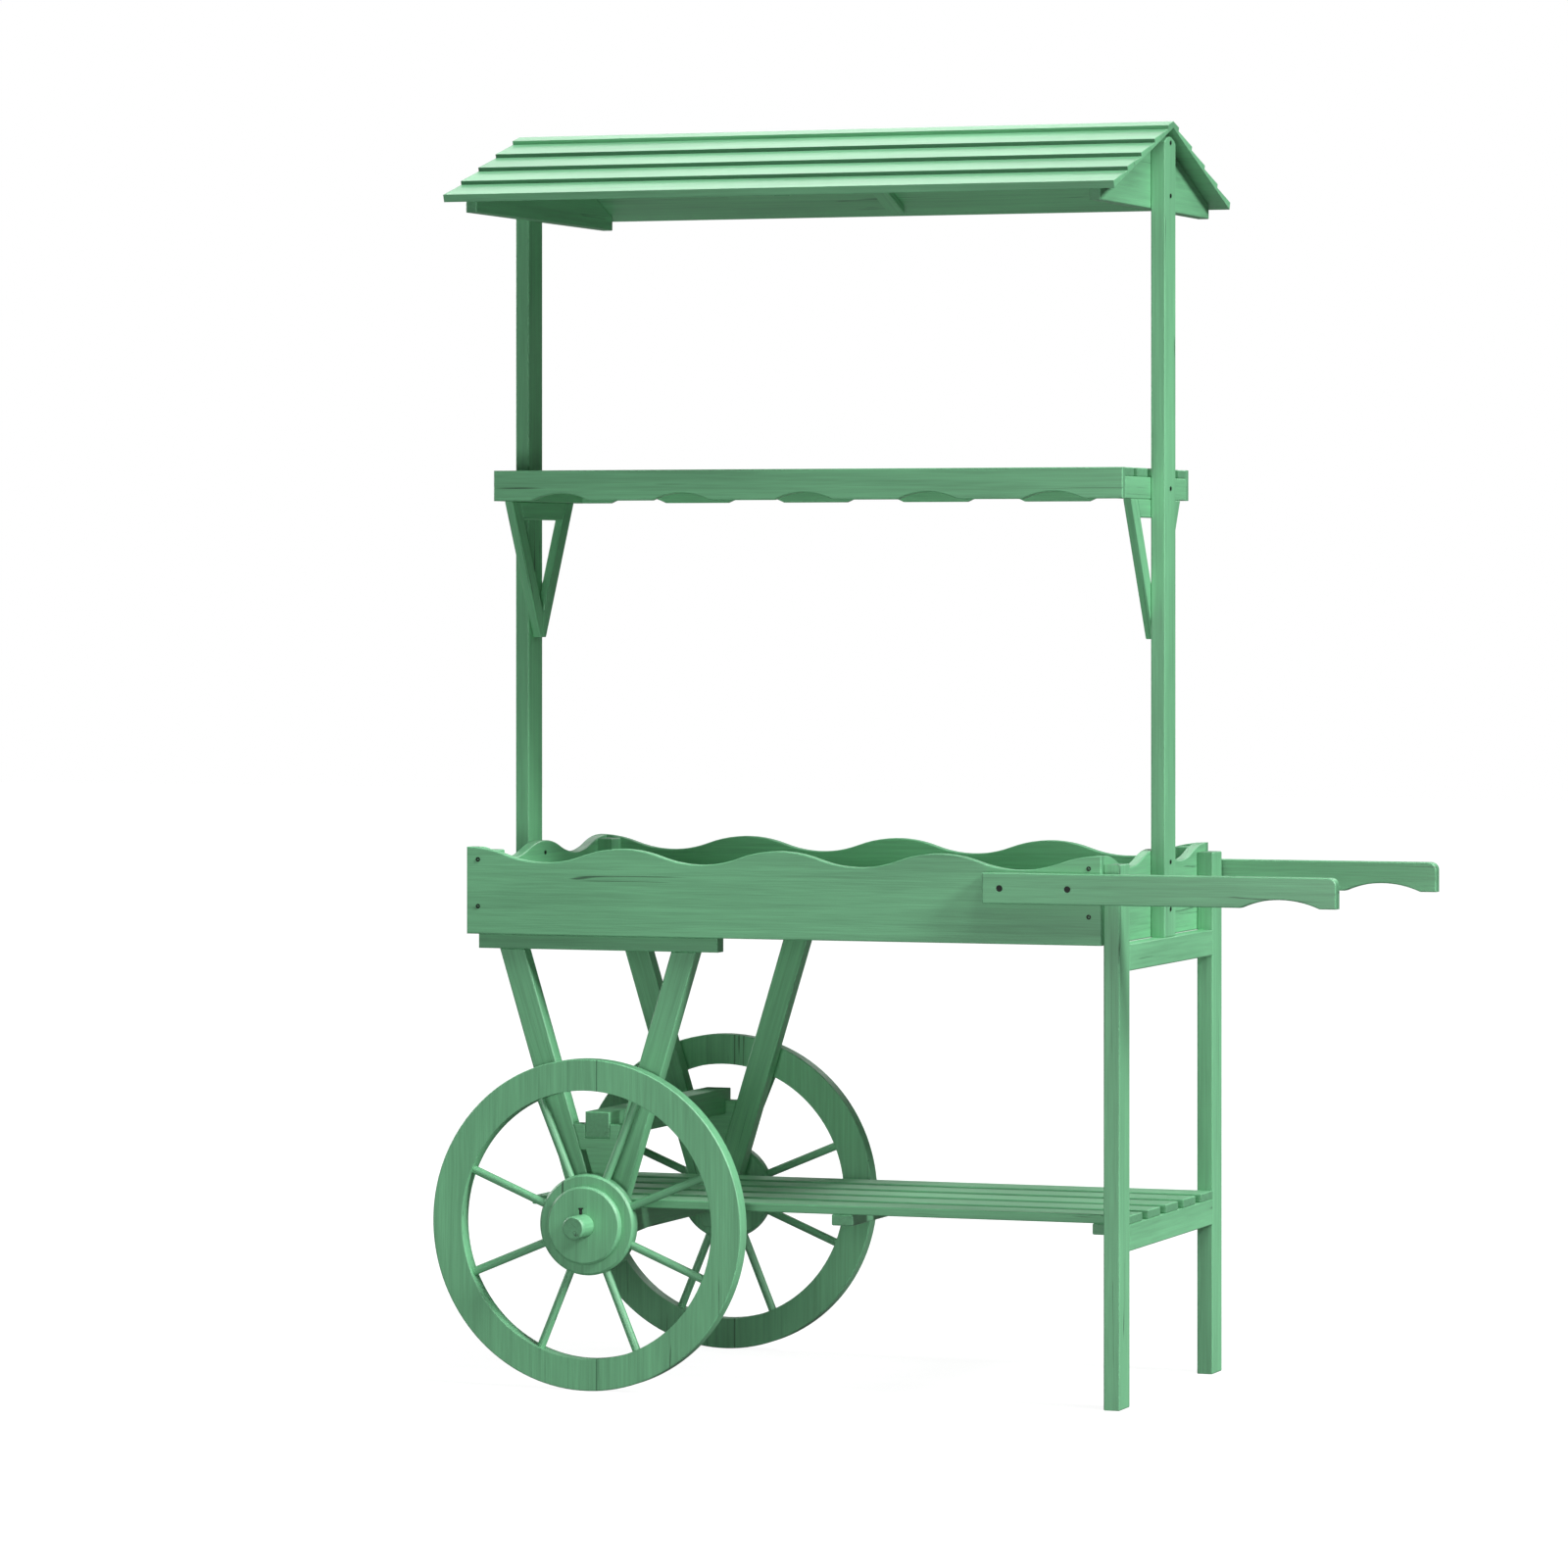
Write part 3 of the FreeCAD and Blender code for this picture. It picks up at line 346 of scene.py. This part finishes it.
for index, name in enumerate(sorted(set(boards) - set(dark_fasteners))):
    shift = (STEP_LONG * index, STEP_WIDE * (index % WIDE_STEPS), STEP_TALL * (index % TALL_STEPS))
    centre = None
    if name.endswith("_spokes"):
        low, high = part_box(name)
        centre = (low + high) / 2
    joints = RIM_JOINTS if name.endswith("_rim") else ()
    finish = stained_pine(name, grain_of(name), shift, ROWS.get(name), centre,
                          LAP_SHADE_FACING.get(name), joints)
    boards[name].data.materials.clear()
    boards[name].data.materials.append(finish)
print("stained", len(boards) - len(dark_fasteners), "pieces")

# %% [markdown]
# ## Dark screws
# The screws are carbon steel with a black phosphate coat. They are small, dark and dull, and all
# that the eye gets from them is a dot with a faint shine.

# %% Black coated steel
COAT_BLACK, COAT_WORN = stain_colour("#0C130F"), stain_colour("#1E2822")
MOTTLE_SCALE, MOTTLE_DETAIL = 900.0, 2.0
COAT_SMOOTHEST, COAT_ROUGHEST, COAT_METALLIC = 0.35, 0.6, 0.3


def black_coated_steel():
    """Dull black coat over steel, slightly uneven."""
    material = bpy.data.materials.new("black_coated_steel")
    material.use_nodes = True
    tree = material.node_tree
    tree.nodes.clear()
    place = add_node(tree, "ShaderNodeTexCoord").outputs["Object"]
    mottle = add_node(tree, "ShaderNodeTexNoise", None,
                      {"Vector": place, "Scale": MOTTLE_SCALE, "Detail": MOTTLE_DETAIL})
    colour = add_node(tree, "ShaderNodeMix", {"data_type": "RGBA"},
                      {"Factor": mottle.outputs["Fac"], 6: COAT_BLACK, 7: COAT_WORN})
    gloss = add_node(tree, "ShaderNodeMapRange", None,
                     {"Value": mottle.outputs["Fac"],
                      "To Min": COAT_SMOOTHEST, "To Max": COAT_ROUGHEST})
    shader = add_node(tree, "ShaderNodeBsdfPrincipled", None,
                      {"Base Color": colour.outputs[2], "Roughness": gloss.outputs["Result"],
                       "Metallic": COAT_METALLIC})
    add_node(tree, "ShaderNodeOutputMaterial", None, {"Surface": shader.outputs["BSDF"]})
    return material


screw_steel = black_coated_steel()
for name in dark_fasteners:
    boards[name].data.materials.clear()
    boards[name].data.materials.append(screw_steel)
print("coated", len(dark_fasteners), "groups of screws")

# %% [markdown]
# ## Small screws
# The model has the big screws in the handles and at the axle. The small ones that hold the tray and
# the posts are made here: a countersunk head with a cross recess. One is modelled upright at the
# origin, with a cone for the head and a thinner one for the shank, and two bars cut the recess.
# Copies of it are turned to face the way their board faces.

# %% One screw
HEAD_RADIUS, HEAD_TALL, HEAD_PROUD = 2.7 * MM, 1.6 * MM, 0.25 * MM
SHANK_RADIUS, SHANK_LONG = 1.5 * MM, 14 * MM
POINT_RADIUS = 0.4 * SHANK_RADIUS
SHANK_TOP = -0.6 * HEAD_TALL            # it ends inside the head
RECESS_LONG, RECESS_WIDE, RECESS_TALL = 3.4 * MM, 0.7 * MM, 1.8 * MM
EDGE_ROUND = 0.12 * MM
SIDES = 32


def choose(*things):
    """Select these objects only; the first one is the active one."""
    bpy.ops.object.select_all(action="DESELECT")
    for thing in things:
        thing.select_set(True)
    bpy.context.view_layer.objects.active = things[0]


def cone(low_radius, high_radius, low, high):
    """An upright cone between two heights."""
    bpy.ops.object.select_all(action="DESELECT")
    bpy.ops.mesh.primitive_cone_add(vertices=SIDES, radius1=low_radius, radius2=high_radius,
                                    depth=high - low, location=(0, 0, (low + high) / 2))
    return bpy.context.object


def bar(long, wide, tall):
    """A bar through the top of the screw."""
    bpy.ops.object.select_all(action="DESELECT")
    bpy.ops.mesh.primitive_cube_add(size=1, location=(0, 0, HEAD_PROUD))
    thing = bpy.context.object
    thing.scale = (long, wide, tall)
    bpy.ops.object.transform_apply(location=True, rotation=True, scale=True)
    return thing


def apply_to(thing, kind, **settings):
    """Add a modifier and apply it."""
    choose(thing)
    modifier = thing.modifiers.new("cut", kind)
    for name, value in settings.items():
        setattr(modifier, name, value)
    bpy.ops.object.modifier_apply(modifier=modifier.name)


shank = cone(POINT_RADIUS, SHANK_RADIUS, -SHANK_LONG, SHANK_TOP)
pattern = cone(SHANK_RADIUS, HEAD_RADIUS, HEAD_PROUD - HEAD_TALL, HEAD_PROUD)
apply_to(pattern, "BOOLEAN", operation="UNION", solver="EXACT", object=shank)
cutters = [shank]
for long, wide in ((RECESS_LONG, RECESS_WIDE), (RECESS_WIDE, RECESS_LONG)):
    cutters.append(bar(long, wide, RECESS_TALL))
    apply_to(pattern, "BOOLEAN", operation="DIFFERENCE", solver="EXACT", object=cutters[-1])
apply_to(pattern, "BEVEL", width=EDGE_ROUND, segments=2, limit_method="ANGLE")
choose(*cutters)
bpy.ops.object.delete()
print("one screw:", len(pattern.data.polygons), "faces")

# %% Screws in their places
TURNS = {"-y": (90, 0, 0), "+y": (-90, 0, 0), "+x": (0, 90, 0), "-x": (0, -90, 0)}
TRAY_HEIGHTS = (0.552, 0.606)
POST_HEIGHTS = (1.034, 1.3696, 1.4304)
TRAY_FACE = 0.2095                      # front and rear, from the middle
TRAY_COLUMNS = (-0.4920, 0.2483)
RIGHT_POST_FACE, LEFT_POST_FACE, LEFT_END_INSIDE = 0.2798, -0.5235, -0.4945
TRAY_SPOTS = [(way, (x, y, z)) for way, y in (("-y", -TRAY_FACE), ("+y", TRAY_FACE))
              for x in TRAY_COLUMNS for z in TRAY_HEIGHTS]
POST_SPOTS = [("+x", (RIGHT_POST_FACE, 0, z)) for z in TRAY_HEIGHTS + POST_HEIGHTS]
POST_SPOTS += [("-x", (LEFT_POST_FACE, 0, z)) for z in POST_HEIGHTS]
POST_SPOTS += [("+x", (LEFT_END_INSIDE, 0, z)) for z in TRAY_HEIGHTS]
RECESS_TURN, QUARTER_TURN = 37, 90      # no two neighbours were driven home at the same angle


def row_of_screws(name, spots):
    """One copy of the screw for each spot, joined into one piece of the cart."""
    copies = []
    for number, (way, place) in enumerate(spots):
        choose(pattern)
        bpy.ops.object.duplicate()
        copy = bpy.context.object
        driven = Matrix.Rotation(math.radians(RECESS_TURN * number % QUARTER_TURN), 4, "Z")
        turned = Euler([math.radians(angle) for angle in TURNS[way]]).to_matrix().to_4x4()
        copy.matrix_world = Matrix.Translation(place) @ turned @ driven
        bpy.ops.object.transform_apply(location=True, rotation=True, scale=True)
        copies.append(copy)
    choose(*copies)
    bpy.ops.object.join()
    piece = bpy.context.object
    piece.name = name
    piece.data.name = name
    piece.data.materials.clear()
    piece.data.materials.append(screw_steel)
    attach(piece, "cart")


row_of_screws("tray_screws", TRAY_SPOTS)
row_of_screws("post_screws", POST_SPOTS)
choose(pattern)
bpy.ops.object.delete()
print("small screws:", len(TRAY_SPOTS), "in the tray,", len(POST_SPOTS), "in the posts")

# %% [markdown]
# ## Floor and light
# The cart stands in a white studio. Product pictures like this one have a background that is white
# without being a lamp, so the camera sees white walls and a white floor, while both shed only a
# little light on the cart. Most of the light comes steeply from above and from the right, which
# leaves deep shade under the roof and inside the tray. A low one in front keeps the broad front
# boards bright, and one high behind the cart gives the roof boards their pale shine. Two more are
# for the rear and the left end, which this picture hardly shows.

# %% Floor
FLOOR_GREY = stain_colour("#6D6F6E")
FLOOR_SIZE, FLOOR_GLOW = 40, 0.93       # the glow is for the camera only
WHITE = (1, 1, 1, 1)
bpy.ops.object.select_all(action="DESELECT")
bpy.ops.mesh.primitive_plane_add(size=FLOOR_SIZE, location=(0, 0, 0))
floor = bpy.context.object
floor.name = "floor"
floor_paint = bpy.data.materials.new("white_studio_floor")
floor_paint.use_nodes = True
floor_tree = floor_paint.node_tree
floor_tree.nodes.clear()
floor_ray = add_node(floor_tree, "ShaderNodeLightPath").outputs["Is Camera Ray"]
floor_matt = add_node(floor_tree, "ShaderNodeBsdfDiffuse", None, {"Color": FLOOR_GREY})
floor_glow = add_node(floor_tree, "ShaderNodeEmission", None,
                      {"Color": WHITE, "Strength": FLOOR_GLOW})
floor_seen = add_node(floor_tree, "ShaderNodeAddShader", None,
                      {0: floor_matt.outputs["BSDF"], 1: floor_glow.outputs["Emission"]})
floor_both = add_node(floor_tree, "ShaderNodeMixShader", None,
                      {0: floor_ray, 1: floor_matt.outputs["BSDF"],
                       2: floor_seen.outputs["Shader"]})
add_node(floor_tree, "ShaderNodeOutputMaterial", None, {"Surface": floor_both.outputs["Shader"]})
floor.data.materials.append(floor_paint)
floor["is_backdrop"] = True
print("floor", floor.dimensions[:])

# %% Lights
WALL_SEEN = 1.0             # how bright the walls look in the picture
WALL_LIGHT = 0.035          # how much light they shed
room = bpy.data.worlds.new("white_room")
room.use_nodes = True
room_tree = room.node_tree
room_tree.nodes.clear()
ray = add_node(room_tree, "ShaderNodeLightPath")
strength = add_node(room_tree, "ShaderNodeMapRange", None,
                    {"Value": ray.outputs["Is Camera Ray"],
                     "To Min": WALL_LIGHT, "To Max": WALL_SEEN})
walls = add_node(room_tree, "ShaderNodeBackground", None,
                 {"Color": WHITE, "Strength": strength.outputs["Result"]})
add_node(room_tree, "ShaderNodeOutputWorld", None, {"Surface": walls.outputs["Background"]})
bpy.context.scene.world = room
bpy.context.scene.view_settings.view_transform = "Standard"
MIDDLE = (0, 0, 0.8)
# place, size in metres and power in watts of each light
LIGHTS = {
    "light_main": ((2.2, -1.5, 5.0), 1.5, 95),
    "light_overhead": ((0.2, -0.2, 5.5), 1.5, 50),
    "light_behind": ((-2.4, 5.4, 4.6), 2.2, 48),
    "light_low": ((0.6, -3.8, 0.5), 0.9, 48),
    "light_back": ((0.9, 6.0, 4.4), 1.6, 60),
    "light_left": ((-5.2, 0.9, 2.2), 2.0, 150),
}
# the light on the right is a sun, so it is even from top to bottom
RIGHT_PLACE = (5.4, -0.8, 4.6)
RIGHT_STRENGTH, RIGHT_SOFTNESS = 3.7, math.radians(14)


def studio_lamp(name, kind, place):
    """A lamp that looks at the middle of the cart."""
    lamp = bpy.data.objects.new(name, bpy.data.lights.new(name, kind))
    lamp.location = place
    lamp.rotation_euler = (Vector(MIDDLE) - Vector(place)).to_track_quat("-Z", "Y").to_euler()
    bpy.context.scene.collection.objects.link(lamp)
    return lamp


for name, (place, size, power) in LIGHTS.items():
    lamp = studio_lamp(name, "AREA", place)
    lamp.data.size = size
    lamp.data.energy = power
right = studio_lamp("light_right", "SUN", RIGHT_PLACE)
right.data.energy = RIGHT_STRENGTH
right.data.angle = RIGHT_SOFTNESS
print(len(LIGHTS) + 1, "soft lights and a white room")

# %% [markdown]
# ## The camera
# The picture was taken from a little to the right of the cart's front, at about the height of its
# middle and from some eight metres away with a long lens, so upright lines stay upright. The shift
# stands in for the crop of the picture.

# %% Camera
CAMERA_PLACE = (2.4815, -7.240, 0.92785)
CAMERA_TURN = 19.86
SENSOR, FOCAL_LENGTH = 36, 151.34       # millimetres
SHIFT_X, SHIFT_Y = -0.0301, -0.1294
lens = bpy.data.cameras.new("camera")
lens.sensor_width = SENSOR
lens.lens = FOCAL_LENGTH
lens.shift_x = SHIFT_X
lens.shift_y = SHIFT_Y
camera = bpy.data.objects.new("camera", lens)
camera.location = CAMERA_PLACE
camera.rotation_euler = (math.radians(90), 0, math.radians(CAMERA_TURN))
bpy.context.scene.collection.objects.link(camera)
bpy.context.scene.camera = camera
print("camera at", CAMERA_PLACE)

# %% Size of the cart
low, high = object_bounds()
print("visual box", tuple(low), tuple(high))
